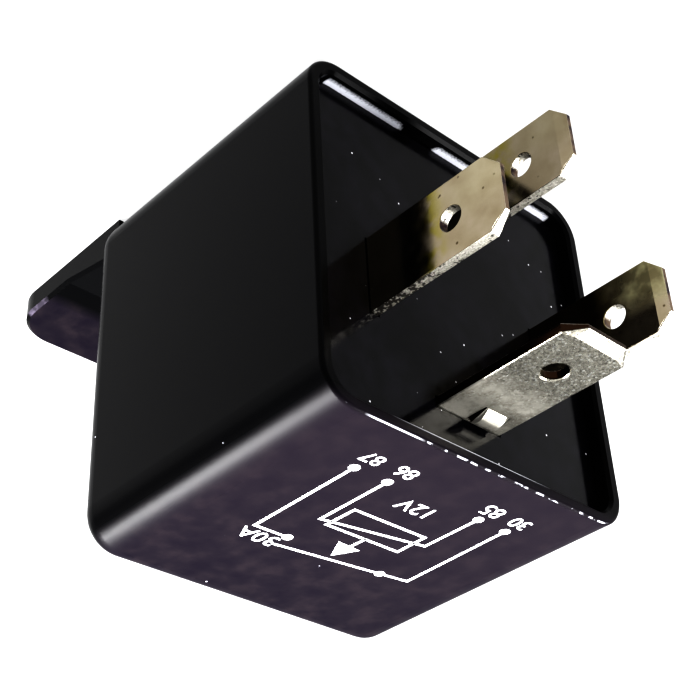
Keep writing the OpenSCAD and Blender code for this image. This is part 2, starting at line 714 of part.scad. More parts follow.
// The braided lead: laid flat on the yoke's leg, then an easy bend over the
// pivot to the heel of the contact leaf.
module braided_lead() {
  land_x = shank_at.x - shank_d / 2 - peen_out - land_fit;
  free_x = hinge_x - braid_off - braid_t / 2;
  laid_x = hinge_x - hair_fit - braid_t / 2;
  rise = (land_x - hinge_x) * tan(open_deg);
  top_z = leaf_top + rise + part_fit + braid_t / 2;
  low_z = winding_z + braid_laid[0];
  jog_z = winding_z + braid_laid[1];
  free_z = jog_z + braid_jog;
  bend = [free_x + braid_bend_r, top_z - braid_bend_r];
  color("#b8743f") from_rim() translate([0, braid_y, 0]) rotate([90, 0, 0])
    linear_extrude(braid_w, center = true) {
      translate([laid_x - braid_t / 2, low_z]) square([braid_t, jog_z - low_z + eps]);
      polygon([[laid_x - braid_t / 2, jog_z], [laid_x + braid_t / 2, jog_z],
               [free_x + braid_t / 2, free_z], [free_x - braid_t / 2, free_z]]);
      translate([free_x - braid_t / 2, free_z - eps])
        square([braid_t, bend.y - free_z + 2 * eps]);
      intersection() {
        translate(bend) difference() {
          circle(braid_bend_r + braid_t / 2);
          circle(braid_bend_r - braid_t / 2);
        }
        translate([free_x - braid_t, bend.y])
          square([braid_bend_r + braid_t, braid_bend_r + braid_t]);
      }
      translate([bend.x - eps, top_z - braid_t / 2]) square([land_x - bend.x, braid_t]);
    }
}

cover();
base();
supply_terminal();
switched_terminal();
coil_terminal_left();
coil_terminal_right();
yoke();
core();
bobbin();
coil_winding();
coil_tape();
coil_lead_left();
coil_lead_right();
fixed_contact();
armature();
contact_leaf();
leaf_rivets();
moving_contact();
return_spring();
braided_lead();
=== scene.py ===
import json
import bpy
import numpy as np
from mathutils import Matrix, Vector
from mathutils.geometry import delaunay_2d_cdt


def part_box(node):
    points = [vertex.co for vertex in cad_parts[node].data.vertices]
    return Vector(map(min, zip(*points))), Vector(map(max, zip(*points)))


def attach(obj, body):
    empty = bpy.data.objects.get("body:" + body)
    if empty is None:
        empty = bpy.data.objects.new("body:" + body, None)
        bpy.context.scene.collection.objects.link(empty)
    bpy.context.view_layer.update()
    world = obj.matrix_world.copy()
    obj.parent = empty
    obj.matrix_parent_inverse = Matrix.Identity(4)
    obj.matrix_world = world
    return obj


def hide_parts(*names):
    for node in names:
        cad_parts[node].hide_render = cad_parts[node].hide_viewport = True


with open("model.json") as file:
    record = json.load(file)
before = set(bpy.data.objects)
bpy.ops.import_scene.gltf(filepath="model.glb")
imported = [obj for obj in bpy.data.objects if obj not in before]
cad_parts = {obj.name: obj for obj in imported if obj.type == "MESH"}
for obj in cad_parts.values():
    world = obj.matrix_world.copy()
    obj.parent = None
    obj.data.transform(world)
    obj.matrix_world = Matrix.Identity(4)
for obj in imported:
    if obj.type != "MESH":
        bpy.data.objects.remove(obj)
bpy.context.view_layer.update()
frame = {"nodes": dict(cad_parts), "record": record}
mm = 0.001

coverLow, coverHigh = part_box("cover")
rimX = coverHigh.x / mm      # plane of the open rim
markedZ = coverHigh.z / mm   # plane of the marked face
middleZ = (coverLow.z + coverHigh.z) / 2 / mm
wall, rimChamfer = 1.1, 0.25   # of the cover, in mm
print("frame loaded, rim at", round(rimX, 3), "mm")


def linearColor(hexText):
    # sRGB hex to linear light: c / 12.92 near black, ((c + 0.055) / 1.055) ^ 2.4 above
    parts = [int(hexText[i:i + 2], 16) / 255 for i in (1, 3, 5)]
    return tuple(c / 12.92 if c <= 0.04045 else ((c + 0.055) / 1.055) ** 2.4 for c in parts) + (1,)


def feed(tree, node, inputs):
    # an input takes a number, a hex colour or another node's output
    for key, value in inputs.items():
        if isinstance(value, bpy.types.NodeSocket):
            tree.links.new(value, node.inputs[key])
        else:
            node.inputs[key].default_value = linearColor(value) if isinstance(value, str) else value


def addNode(tree, kind, inputs, give=0, stops=None, **settings):
    # inputs go by name, or in order; settings are the node's own properties, stops a ramp's
    # places and hex colours, and give is the output that comes back
    node = tree.nodes.new("ShaderNode" + kind)
    for key, value in settings.items():
        setattr(node, key, value)
    if stops:
        band = node.color_ramp.elements
        for position, color in stops[1:-1]:
            band.new(position).color = linearColor(color)
        for element, (position, color) in ((band[0], stops[0]), (band[-1], stops[-1])):
            element.position, element.color = position, linearColor(color)
    feed(tree, node, inputs if isinstance(inputs, dict) else dict(enumerate(inputs)))
    return node.outputs[give]


def newMaterial(name):
    material = bpy.data.materials.new(name)
    material.use_nodes = True
    tree = material.node_tree
    return material, tree, tree.nodes["Principled BSDF"], addNode(tree, "TexCoord", {}, "Object")


def overlap(tree, *masks):
    # 1 where every mask is 1: their product
    total = masks[0]
    for mask in masks[1:]:
        total = addNode(tree, "Math", (total, mask), operation="MULTIPLY")
    return total


def addCoats(tree, color, coats):
    # each coat is a mask and a colour, laid over the last where the mask is 1
    for mask, over in coats:
        color = addNode(tree, "Mix", {0: mask, 6: color, 7: over}, 2, data_type="RGBA")
    return color


def facing(tree, place, direction, low, high):
    # 1 where the surface faces the direction, by the cosine of the angle between them
    normal = place.node.outputs["Normal"]
    cosine = addNode(tree, "VectorMath", (normal, Vector(direction).normalized()), "Value",
                     operation="DOT_PRODUCT")
    return addNode(tree, "MapRange", (cosine, low, high, 0, 1))


def specks(tree, place, apartMm, radiusMm, share):
    # sparse round specks: the middles of random cells, of which a share is kept
    away = addNode(tree, "TexVoronoi", {"Vector": place, "Scale": 1 / (apartMm * mm)}, "Distance")
    pick = addNode(tree, "SeparateXYZ", [away.node.outputs["Color"]], "X")
    near = addNode(tree, "MapRange", (away, 0.6 * radiusMm / apartMm, radiusMm / apartMm, 1, 0))
    return overlap(tree, near, addNode(tree, "MapRange", (pick, share, share + 0.01, 1, 0)))


def inStretches(tree, axis, stretches, softMm):
    # 1 inside any of the stretches, falling to 0 over softMm past their ends
    total = 0.0
    for start, end in stretches:
        rise = addNode(tree, "MapRange", (axis, (start - softMm) * mm, start * mm, 0, 1))
        fall = addNode(tree, "MapRange", (axis, end * mm, (end + softMm) * mm, 1, 0))
        total = addNode(tree, "Math", (total, overlap(tree, rise, fall)), operation="MAXIMUM")
    return total


coverLook = {
    "side": "#080809", "sideShine": 0.27, "faceShine": 0.46, "gloss": 0.07,
    "face": ["#15111a", "#1a161d", "#221d22"], "cloudMm": 1.7,
    "paler": "#252026", "palerShare": 0.55, "palerFrom": 8, "palerTo": 30,   # the marked face turns paler towards the rim
    "grainMm": 0.13, "grainDepth": 0.006,   # the tool's spark grain is about 0.03 mm: drawn coarser
    # painted highlights: their pale colour (dust specks take it too), the size of the patches that break
    # them, the streaks in the far-wall strips, and the ear edge's lighter colour
    "highlightAndDust": "#d4d5dc", "highlightBreakMm": 0.8, "streakMm": 0.16, "earEdgeHighlight": "#5a5460",
    "dustApart": 2.4, "dustRadius": 0.09, "dustShare": 0.3,   # dust, drawn coarser to show
    # stretches along Y, in mm, of painted highlight: inside the far wall, and along the outer and inner rim
    # edges
    "farWallHighlight": [(4.9, 12.6), (-3.2, 0.5), (-13.0, -9.6)],
    "outerRimHighlight": [(6.6, 10.4)], "innerCrestHighlight": [(-3.0, 5.4)],
}


def mouldedPolyamide():
    # black glass-filled polyamide, injection moulded in a polished tool: the plain sides are deep
    # and glossy, the marked face is left with a fine dull grain that looks purple-grey and turns
    # paler towards the rim, and pale painted highlights lie along the rim's edges, inside the far wall and on
    # the ear's edge
    look = coverLook
    material, tree, shader, place = newMaterial("mouldedPolyamide")
    x, y, z = (addNode(tree, "SeparateXYZ", [place], axis) for axis in "XYZ")

    # the dull grain covers the marked face and the ear's upper face
    onMarked = addNode(tree, "MapRange", (z, (markedZ - 1.3) * mm, (markedZ - 0.05) * mm, 0, 1))
    onEar = overlap(tree, facing(tree, place, (0, 0, 1), 0.75, 0.95),
                    addNode(tree, "MapRange", (x, -0.5 * mm, 1.0 * mm, 1, 0)))
    marked = addNode(tree, "Math", (onMarked, onEar), operation="MAXIMUM")
    cloud = addNode(tree, "TexNoise",
                    {"Vector": place, "Scale": 1 / (look["cloudMm"] * mm), "Detail": 4})
    dull = addNode(tree, "ValToRGB", [cloud], stops=list(zip((0.32, 0.5, 0.68), look["face"])))
    # the marked face is painted paler towards the rim
    towardRim = addNode(tree, "MapRange",
                      (x, look["palerFrom"] * mm, look["palerTo"] * mm, 0, look["palerShare"]))
    dull = addCoats(tree, dull, [(towardRim, look["paler"])])

    # painted highlight along the outer edge of the rim, on the marked side: broken up, and whole in its
    # stretch
    patch = addNode(tree, "TexNoise",
                    {"Vector": place, "Scale": 1 / (look["highlightBreakMm"] * mm), "Detail": 4})
    broken = addNode(tree, "MapRange", (patch, 0.5, 0.56, 0, 1))
    outerShown = addNode(tree, "Math", (broken, inStretches(tree, y, look["outerRimHighlight"], 0.8)),
                   operation="MAXIMUM")
    outer = overlap(tree, facing(tree, place, (1, 0, 1), 0.965, 0.99),
                    addNode(tree, "MapRange", (z, (markedZ - 1) * mm, (markedZ - 0.5) * mm, 0, 1)),
                    addNode(tree, "MapRange", (x, (rimX - 0.5) * mm, (rimX - 0.4) * mm, 0, 1)),
                    outerShown)

    # a painted highlight line along the inner chamfer's crest
    crestZ = markedZ - wall + rimChamfer - 0.04
    off = addNode(tree, "Math", (z, crestZ * mm), operation="SUBTRACT")
    off = addNode(tree, "Math", [off], operation="ABSOLUTE")
    inner = overlap(tree, addNode(tree, "MapRange", (off, 0.05 * mm, 0.1 * mm, 1, 0)),
                    addNode(tree, "MapRange", (x, (rimX - 0.06) * mm, (rimX - 0.03) * mm, 0, 1)),
                    inStretches(tree, y, look["innerCrestHighlight"], 3.5))

    # painted highlight in strips on the inside of the far wall, broken by fine streaks
    far = overlap(tree,
                  addNode(tree, "MapRange", (x, (rimX - 1.1) * mm, (rimX - 0.35) * mm, 1, 0.1)),
                  addNode(tree, "MapRange", (z, (wall + 0.05) * mm, (wall + 0.15) * mm, 1, 0)),
                  addNode(tree, "MapRange", (x, (rimX - 1.4) * mm, (rimX - 1.2) * mm, 0, 1)),
                  inStretches(tree, y, look["farWallHighlight"], 0.9))
    streaks = addNode(tree, "TexNoise",
                      {"Vector": place, "Scale": 1 / (look["streakMm"] * mm), "Detail": 2})
    streaks = addNode(tree, "Math", (streaks, 0.5), operation="ADD")
    far = addNode(tree, "MapRange", (overlap(tree, far, streaks), 0.3, 0.75, 0, 1))
    # all the painted highlights together
    highlightAndDust = addNode(tree, "Math", (outer, inner), operation="MAXIMUM")
    highlightAndDust = addNode(tree, "Math", (highlightAndDust, far), operation="MAXIMUM")

    # painted highlight on the ear's edge that faces +Y and +Z
    earEdgeHighlight = overlap(tree, facing(tree, place, (0, 1, 1), 0.975, 0.995),
                      addNode(tree, "MapRange", (x, -1 * mm, -0.2 * mm, 1, 0)),
                      addNode(tree, "MapRange", (patch, 0.4, 0.6, 0.35, 1)))
    dust = specks(tree, place, look["dustApart"], look["dustRadius"], look["dustShare"])
    grain = addNode(tree, "TexNoise",
                    {"Vector": place, "Scale": 1 / (look["grainMm"] * mm), "Detail": 2})
    # the dull face, then the painted highlights, the ear edge's painted highlight and the dust specks, over
    # the glossy side
    feed(tree, shader, {
        "Base Color": addCoats(tree, look["side"], [(marked, dull), (highlightAndDust, look["highlightAndDust"]),
                                                    (earEdgeHighlight, look["earEdgeHighlight"]),
                                                    (dust, look["highlightAndDust"])]),
        "Roughness": addNode(tree, "MapRange", (marked, 0, 1, look["sideShine"], look["faceShine"])),
        "Specular IOR Level": look["gloss"],
        "Normal": addNode(tree, "Bump", {"Height": grain, "Strength": 0.5,
                                         "Distance": look["grainDepth"] * mm})})
    return material


baseLook = {
    "tone": ["#09090b", "#111015"], "toneMm": 1.5, "shine": [0.1, 0.18], "shineMm": 0.8,
    "gloss": 0.14, "waveMm": 0.5, "waveDepth": 0.004,
    "dust": "#d8d8dc", "dustApart": 1.2, "dustRadius": 0.09, "dustShare": 0.1,   # drawn coarser
}


def polishedPolyamide():
    # the base is moulded in the same black resin against a mirror-polished insert, so the
    # blades show in it; a few specks of dust lie on it
    look = baseLook
    material, tree, shader, place = newMaterial("polishedPolyamide")
    cloud = addNode(tree, "TexNoise",
                    {"Vector": place, "Scale": 1 / (look["toneMm"] * mm), "Detail": 3})
    tone = addNode(tree, "ValToRGB", [cloud], stops=list(zip((0.35, 0.65), look["tone"])))
    onFace = addNode(tree, "Mapping", {"Vector": place, "Scale": (0, 1, 1)})   # same at any depth
    dust = specks(tree, onFace, look["dustApart"], look["dustRadius"], look["dustShare"])
    shine = addNode(tree, "TexNoise",
                    {"Vector": place, "Scale": 1 / (look["shineMm"] * mm), "Detail": 2})
    wave = addNode(tree, "TexNoise",
                   {"Vector": place, "Scale": 1 / (look["waveMm"] * mm), "Detail": 2})
    feed(tree, shader, {
        "Base Color": addCoats(tree, tone, [(dust, look["dust"])]),
        "Roughness": addNode(tree, "MapRange", (shine, 0.3, 0.7, *look["shine"])),
        "Specular IOR Level": look["gloss"],
        "Normal": addNode(tree, "Bump", {"Height": wave, "Strength": 0.3,
                                         "Distance": look["waveDepth"] * mm})})
    return material


brassLook = {
    "face": ["#8c816c", "#948a76", "#9c9281"], "cloudMm": 1.8, "shine": [0.1, 0.17], "shineMm": 0.9,
    "bloom": "#8a8236", "bloomFrom": 4.3, "bloomTo": 6.4, "bloomMm": 1.1,   # mm beyond the rim
    "dot": "#574b35", "dotApart": 0.9, "dotRadius": 0.13, "dotShare": 0.5,
    "film": "#b0ad88", "filmFrom": 5.0, "filmTo": 9.0, "filmShare": 0.18,   # mm beyond the rim
    "filmed": [(3.5, 6.2), (13.0, 16.2)],   # stretches along Z that keep their tarnish film
    "edge": ["#b4b0a4", "#e2dfd6"], "pit": "#2e2a26", "pitMm": 0.3, "tip": ["#32272c", "#7d6c5c"],
    "grainMm": 0.14, "grainDepth": 0.008,   # sheared metal breaks at about 0.05 mm: drawn coarser
}


def agedBrass():
    # brass strip, bright dipped and blanked: a smooth mirror-like tan face, with an olive bloom
    # where a socket's grip ended, a tarnish film on one blade, brown dots, and sheared edges
    # that are pale and grainy, with dark pits towards the root
    look = brassLook
    material, tree, shader, place = newMaterial("agedBrass")
    x, y, z = (addNode(tree, "SeparateXYZ", [place], axis) for axis in "XYZ")
    slopeX, slopeY = (addNode(tree, "SeparateXYZ", [place.node.outputs["Normal"]], axis)
                      for axis in "XY")
    cloud = addNode(tree, "TexNoise",
                    {"Vector": place, "Scale": 1 / (look["cloudMm"] * mm), "Detail": 4})
    face = addNode(tree, "ValToRGB", [cloud], stops=list(zip((0.3, 0.5, 0.7), look["face"])))

    # the bloom is a band across the blade, with a sharp start and a ragged density
    start, end = rimX + look["bloomFrom"], rimX + look["bloomTo"]
    ragged = addNode(tree, "TexNoise",
                     {"Vector": place, "Scale": 1 / (look["bloomMm"] * mm), "Detail": 4})
    bloom = overlap(tree, addNode(tree, "MapRange", (x, (start - 1) * mm, start * mm, 0, 1)),
                    addNode(tree, "MapRange", (x, (start + 0.6) * mm, end * mm, 1, 0)),
                    addNode(tree, "MapRange", (ragged, 0.42, 0.6, 0, 0.85)))

    # the film grows towards the tip, and is strong only on the blade on the -Y side
    start, end = rimX + look["filmFrom"], rimX + look["filmTo"]
    film = overlap(tree, inStretches(tree, z, look["filmed"], 2.2),
                   addNode(tree, "MapRange", (x, start * mm, end * mm, 0, 1)),
                   addNode(tree, "MapRange", (cloud, 0.35, 0.6, 0.45, 1)),
                   addNode(tree, "MapRange", (y, -6 * mm, -4 * mm, 1, look["filmShare"])))
    dots = specks(tree, place, look["dotApart"], look["dotRadius"], look["dotShare"])
    face = addCoats(tree, face, [(bloom, look["bloom"]), (dots, look["dot"]), (film, look["film"])])

    # sheared edges: everything that doesn't face along Y
    steep = addNode(tree, "Math", [slopeY], operation="ABSOLUTE")
    edge = addNode(tree, "MapRange", (steep, 0.35, 0.6, 1, 0))
    grain = addNode(tree, "TexNoise",
                    {"Vector": place, "Scale": 1 / (look["grainMm"] * mm), "Detail": 2})
    sheared = addNode(tree, "ValToRGB", [grain], stops=list(zip((0.4, 0.6), look["edge"])))
    pits = addNode(tree, "TexNoise",
                   {"Vector": place, "Scale": 1 / (look["pitMm"] * mm), "Detail": 3})
    nearRoot = addNode(tree, "MapRange", (x, rimX * mm, (rimX + 8) * mm, 0.16, -0.06))
    pits = addNode(tree, "Math", (pits, nearRoot), operation="ADD")
    stain = addNode(tree, "TexNoise",
                    {"Vector": place, "Scale": 1 / (look["shineMm"] * mm), "Detail": 2})
    stain = addNode(tree, "ValToRGB", [stain], stops=list(zip((0.4, 0.6), look["tip"])))
    sheared = addCoats(tree, sheared, [
        (addNode(tree, "MapRange", (pits, 0.56, 0.62, 0, 0.9)), look["pit"]),
        (addNode(tree, "MapRange", (slopeX, 0.85, 0.95, 0, 1)), stain)])

    # the film is not bare metal; the edges and the film are rougher than the face
    bare = addNode(tree, "Math", (1, edge), operation="SUBTRACT")
    shine = addNode(tree, "TexNoise",
                    {"Vector": place, "Scale": 1 / (look["shineMm"] * mm), "Detail": 3})
    rough = addNode(tree, "MapRange", (shine, 0.3, 0.7, *look["shine"]))
    for mask, extra in ((edge, 0.28), (film, 0.12)):
        rough = addNode(tree, "Math", (rough, overlap(tree, mask, extra)), operation="ADD")
    coarse = addNode(tree, "Math", (overlap(tree, edge, 5), 0.1), operation="ADD")
    feed(tree, shader, {
        "Base Color": addCoats(tree, face, [(edge, sheared)]),
        "Metallic": addNode(tree, "MapRange", (overlap(tree, film, bare), 0, 1, 1, 0.1)),
        "Roughness": rough,
        "Normal": addNode(tree, "Bump", {"Height": overlap(tree, grain, coarse), "Strength": 0.6,
                                         "Distance": look["grainDepth"] * mm})})
    return material


tinLook = {
    # glintLight and glintDark are painted glints on single crystals
    "coat": ["#7a766d", "#928f85", "#aaa79c"], "coatMm": 0.22, "glintLight": "#e2e2dd", "glintDark": "#55514a",
    # near the root the coat is rougher, and its colour is painted lighter as a painted reflection
    "dull": "#b8b5ac", "dullFrom": 2.4, "dullTo": 5.0, "dullMm": 0.9,   # mm beyond the rim
    "crystalMm": 0.13, "sheared": "#36281f",   # tin grains are about 0.03 mm: drawn coarser
    "bumpMm": 0.2, "bumpDepth": 0.006,
}


def tinnedBrass():
    # brass strip tinned before it was blanked: the faces have a calm grey coat with fine grain, with
    # painted glints where a crystal here and there is painted lighter or darker, a rougher zone near
    # the root whose colour is painted lighter as a painted reflection, and the sheared edges are bare brown
    # brass
    look = tinLook
    material, tree, shader, place = newMaterial("tinnedBrass")
    x = addNode(tree, "SeparateXYZ", [place], "X")
    upright = addNode(tree, "SeparateXYZ", [place.node.outputs["Normal"]], "Z")
    mottle = addNode(tree, "TexNoise",
                     {"Vector": place, "Scale": 1 / (look["coatMm"] * mm), "Detail": 3})
    coat = addNode(tree, "ValToRGB", [mottle], stops=list(zip((0.3, 0.5, 0.7), look["coat"])))
    crystals = addNode(tree, "TexVoronoi",
                       {"Vector": place, "Scale": 1 / (look["crystalMm"] * mm)}, "Color")
    red, green, blue = (addNode(tree, "SeparateXYZ", [crystals], axis) for axis in "XYZ")
    root = addNode(tree, "MapRange", (x, (rimX + look["dullFrom"]) * mm,
                                      (rimX + look["dullTo"]) * mm, 1, 0))
    patch = addNode(tree, "TexNoise",
                    {"Vector": place, "Scale": 1 / (look["dullMm"] * mm), "Detail": 3})
    # the root zone, broken into patches, where the colour is painted lighter
    rootPaintedLight = overlap(tree, root, addNode(tree, "MapRange", (patch, 0.4, 0.6, 0.35, 1)))
    steep = addNode(tree, "Math", [upright], operation="ABSOLUTE")
    sheared = addNode(tree, "MapRange", (steep, 0.3, 0.45, 1, 0))

    # each crystal has its own shine; the sheared edges are smoother, the root rougher
    rough = overlap(tree, addNode(tree, "MapRange", (blue, 0, 1, 0.2, 0.32)),
                    addNode(tree, "MapRange", (sheared, 0, 1, 1, 0.55)))
    rough = addNode(tree, "Math", (rough, overlap(tree, root, 0.2)), operation="ADD")
    grain = addNode(tree, "TexNoise",
                    {"Vector": place, "Scale": 1 / (look["bumpMm"] * mm), "Detail": 3})
    feed(tree, shader, {
        "Base Color": addCoats(tree, coat, [
            # painted glints: a few crystals painted lighter or darker, as if catching or missing the light
            (addNode(tree, "MapRange", (red, 0.86, 0.96, 0, 0.5)), look["glintLight"]),
            (addNode(tree, "MapRange", (green, 0.86, 0.96, 0, 0.6)), look["glintDark"]),
            (rootPaintedLight, look["dull"]), (sheared, look["sheared"])]),
        "Metallic": 1.0,
        "Roughness": rough,
        "Normal": addNode(tree, "Bump", {"Height": grain, "Strength": 0.6,
                                         "Distance": look["bumpDepth"] * mm})})
    return material


# how many grains wide the clouds of colour and of shine are, and how far the shine strays
metalWay = {"clouds": 6, "shine": 2, "stray": (0.8, 1.25), "metallic": 1.0}
plasticWay = {"clouds": 8, "shine": 3, "stray": (0.85, 1.15), "metallic": 0.0}


def plainFinish(name, way, darkHex, lightHex, grainMm, roughness, depthMm):
    # one tone that drifts a little, with a shine that drifts too and a fine grain
    material, tree, shader, place = newMaterial(name)
    sizes = {"cloud": (grainMm * way["clouds"], 4), "shine": (grainMm * way["shine"], 2),
             "grain": (grainMm, 2)}
    noise = {key: addNode(tree, "TexNoise", {"Vector": place, "Scale": 1 / (size * mm),
                                             "Detail": detail})
             for key, (size, detail) in sizes.items()}
    low, high = (roughness * share for share in way["stray"])
    feed(tree, shader, {
        "Base Color": addNode(tree, "ValToRGB", [noise["cloud"]],
                              stops=[(0.3, darkHex), (0.7, lightHex)]),
        "Metallic": way["metallic"],
        "Roughness": addNode(tree, "MapRange", (noise["shine"], 0.3, 0.7, low, high)),
        "Normal": addNode(tree, "Bump", {"Height": noise["grain"], "Strength": 0.6,
                                         "Distance": depthMm * mm})})
    return material


brass = agedBrass()
tinned = tinnedBrass()
# white pad-printing ink: a thin matt film, slightly uneven in cover, its grain drawn coarser
ink = plainFinish("padInk", plasticWay, "#e9eaee", "#ffffff", 0.05, 0.6, 0.002)
# the grains below are drawn coarser than real ones, which are a few hundredths of a millimetre;
# the values are the name, the way, the dark and light tones, and then the grain in mm, the
# roughness and the depth of the grain in mm
finishes = {
    "moulded_cover": mouldedPolyamide(),
    "moulded_base": polishedPolyamide(),
    "tarnished_brass": brass,
    "tinned_brass": tinned,
    # zinc-plated cold-rolled strip: cool, slightly mottled
    "zinc_plated_steel": plainFinish("zincPlatedSteel", metalWay, "#9fa2a6", "#b9bcc0", 0.10, 0.32, 0.003),
    # nickel-plated soft iron: darker and smoother
    "plated_iron": plainFinish("nickelPlatedIron", metalWay, "#8d8f92", "#a5a7aa", 0.08, 0.25, 0.002),
    # glass-filled polyamide with a dull moulded skin
    "coil_former": plainFinish("coilFormerPolyamide", plasticWay, "#1d1b19", "#2a2725", 0.10, 0.5, 0.004),
    # enamelled copper wire wound in close turns: warm, with a clear shine
    "enamelled_copper": plainFinish("enamelledCopper", metalWay, "#a3481c", "#c76a30", 0.10, 0.28, 0.006),
    # polyester tape: glossy, amber yellow
    "coil_tape": plainFinish("polyesterTape", plasticWay, "#b98a14", "#d6a828", 0.15, 0.22, 0.003),
    # copper wire wetted with solder: pale and soft
    "tinned_copper": plainFinish("solderedCopper", metalWay, "#b9a58f", "#cfc2b2", 0.06, 0.3, 0.004),
    # turned silver alloy: the brightest of the metals
    "silver_alloy": plainFinish("silverAlloy", metalWay, "#cfcfcb", "#e6e6e2", 0.05, 0.22, 0.002),
    # rolled bronze strip: orange-brown and smooth
    "spring_bronze": plainFinish("rolledBronze", metalWay, "#b07a45", "#c9945a", 0.08, 0.25, 0.002),
    # turned brass: yellow and smooth
    "rivet_brass": plainFinish("turnedBrass", metalWay, "#b89a5e", "#cfb476", 0.06, 0.25, 0.002),
    # drawn spring wire: dark grey with a low shine
    "spring_steel": plainFinish("drawnSteelWire", metalWay, "#777a7e", "#94979b", 0.06, 0.3, 0.002),
    # bare woven copper: red-brown and dull
    "bare_copper": plainFinish("bareCopper", metalWay, "#b5653c", "#cf8256", 0.12, 0.35, 0.01),
}
slotOfNode = {row["node"]: row["material_slot"] for row in frame["record"]["subparts"]}
for nodeName, node in frame["nodes"].items():
    for slot in node.material_slots:
        slot.material = finishes[slotOfNode[nodeName]]
print("materials set on", len(frame["nodes"]), "nodes")


def bandFaces(rows, columns, closed=True):
    # quads between neighbouring rows of a grid whose columns run round a loop
    last = columns if closed else columns - 1
    row, column = np.meshgrid(np.arange(rows - 1), np.arange(last), indexing="ij")
    after = (column + 1) % columns
    return np.stack([row * columns + column, row * columns + after,
                     (row + 1) * columns + after, (row + 1) * columns + column], -1).reshape(-1, 4)


def buildPiece(name, points, faces, material, body):
    mesh = bpy.data.meshes.new(name)
    mesh.from_pydata((np.asarray(points) * mm).tolist(), [], faces)
    mesh.validate()
    piece = bpy.data.objects.new(name, mesh)
    bpy.context.scene.collection.objects.link(piece)
    mesh.materials.append(material)
    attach(piece, body)
    return piece


def loopInset(loop, distance):
    # each point moves along its mitre, (n1 + n2) / (1 + n1.n2), towards the left of the loop
    ahead = np.roll(loop, -1, 0) - loop
    ahead /= np.linalg.norm(ahead, axis=1)[:, None]
    left = np.stack([-ahead[:, 1], ahead[:, 0]], 1)
    before = np.roll(left, 1, 0)
    mitre = (left + before) / (1 + (left * before).sum(1))[:, None]
    return loop + mitre * distance


def insideLoops(places, flat, borders):
    # a place is inside when a ray towards +x crosses the borders an odd number of times
    a, b = flat[borders[:, 0]], flat[borders[:, 1]]
    x, y = places[:, :1], places[:, 1:]
    spans = (a[:, 1] > y) != (b[:, 1] > y)
    rise = np.where(b[:, 1] == a[:, 1], 1, b[:, 1] - a[:, 1])
    crossing = a[:, 0] + (y - a[:, 1]) * (b[:, 0] - a[:, 0]) / rise
    return (spans & (crossing > x)).sum(1) % 2 == 1


def stampedPlate(loops, thickness, edge, inner=None, edgeSteps=3):
    # flat plate from an outline (anticlockwise) and holes (clockwise). The edge profile, a quarter
    # round of radius edge above and below, is carried round every loop; the two faces are filled
    # between the inset loops. Returns points (across, along, height) and faces.
    turn = np.linspace(0, np.pi / 2, edgeSteps + 1)
    inset = edge * (1 - np.sin(turn))
    rise = thickness / 2 - edge * (1 - np.cos(turn))
    inset = np.concatenate([inset, inset[::-1]])
    rise = np.concatenate([rise, -rise[::-1]])
    points, faces, topIds, lowIds, flat, borders = [], [], [], [], [], []
    start = flatStart = 0
    for loop in loops:
        loop = np.asarray(loop, float)
        count = len(loop)
        rows = [np.column_stack([loopInset(loop, d), np.full(count, h)]) for d, h in zip(inset, rise)]
        points.append(np.concatenate(rows))
        faces += (bandFaces(len(rows), count)[:, ::-1] + start).tolist()
        topIds.append(start + np.arange(count))
        lowIds.append(start + (len(rows) - 1) * count + np.arange(count))
        flat.append(rows[0][:, :2])
        ids = flatStart + np.arange(count)
        borders += np.column_stack([ids, np.roll(ids, -1)]).tolist()
        start += len(rows) * count
        flatStart += count
    if inner is not None and len(inner):
        inner = np.asarray(inner, float)
        for ids, sign in ((topIds, 1), (lowIds, -1)):
            points.append(np.column_stack([inner, np.full(len(inner), sign * thickness / 2)]))
            ids.append(start + np.arange(len(inner)))
            start += len(inner)
        flat.append(inner)
    flat = np.concatenate(flat)
    # type 1 fills what lies within the borders, and points nearer than 1e-7 mm become one; the
    # holes are then dropped by the odd and even test
    cut = delaunay_2d_cdt([Vector(p) for p in flat.tolist()], borders, [], 1, 1e-7, True)
    origin = np.array([ids[0] for ids in cut[3]])
    fill = origin[np.array([list(f) for f in cut[2]])]
    fill = fill[insideLoops(flat[fill].mean(1), flat, np.array(borders))]
    top, low = np.concatenate(topIds), np.concatenate(lowIds)
    faces += top[fill].tolist() + low[fill[:, ::-1]].tolist()
    return np.concatenate(points), faces


def circleLoop(x, y, radius, steps=48, clockwise=True):
    turn = np.linspace(0, 2 * np.pi, steps, endpoint=False) * (-1 if clockwise else 1)
    return np.column_stack([x + radius * np.cos(turn), y + radius * np.sin(turn)])


blade = {
    "width": 6.3, "thickness": 0.8, "out": 11.0,      # beyond the rim
    "chamfer": 1.25, "tipThickness": 0.4, "tipBevel": 1.0,
    "hole": 1.9, "holeFromTip": 4.45, "floor": 3.6,   # depth of the base's inner face
    "edge": 0.07,                                     # roll-over left by blanking
    "creaseMargin": 0.35, "creaseSteps": 9,           # points along the bevel's crease
}


def bladeTip(half):
    cut = blade["chamfer"]
    return [[-half, cut], [-half + cut, 0], [half - cut, 0], [half, cut]]


def bladeThinned(points):
    # the height shrinks in a straight line to the tip's thickness over the bevel
    least = blade["tipThickness"] / blade["thickness"]
    share = least + (1 - least) * np.clip(points[:, 1] / blade["tipBevel"], 0, 1)
    return np.column_stack([points[:, 0], points[:, 1], points[:, 2] * share])


def bevelRow(half):
    # points across the blade where the bevel ends, so that the crease is straight
    reach, steps = half - blade["creaseMargin"], blade["creaseSteps"]
    return np.column_stack([np.linspace(-reach, reach, steps), np.full(steps, blade["tipBevel"])])


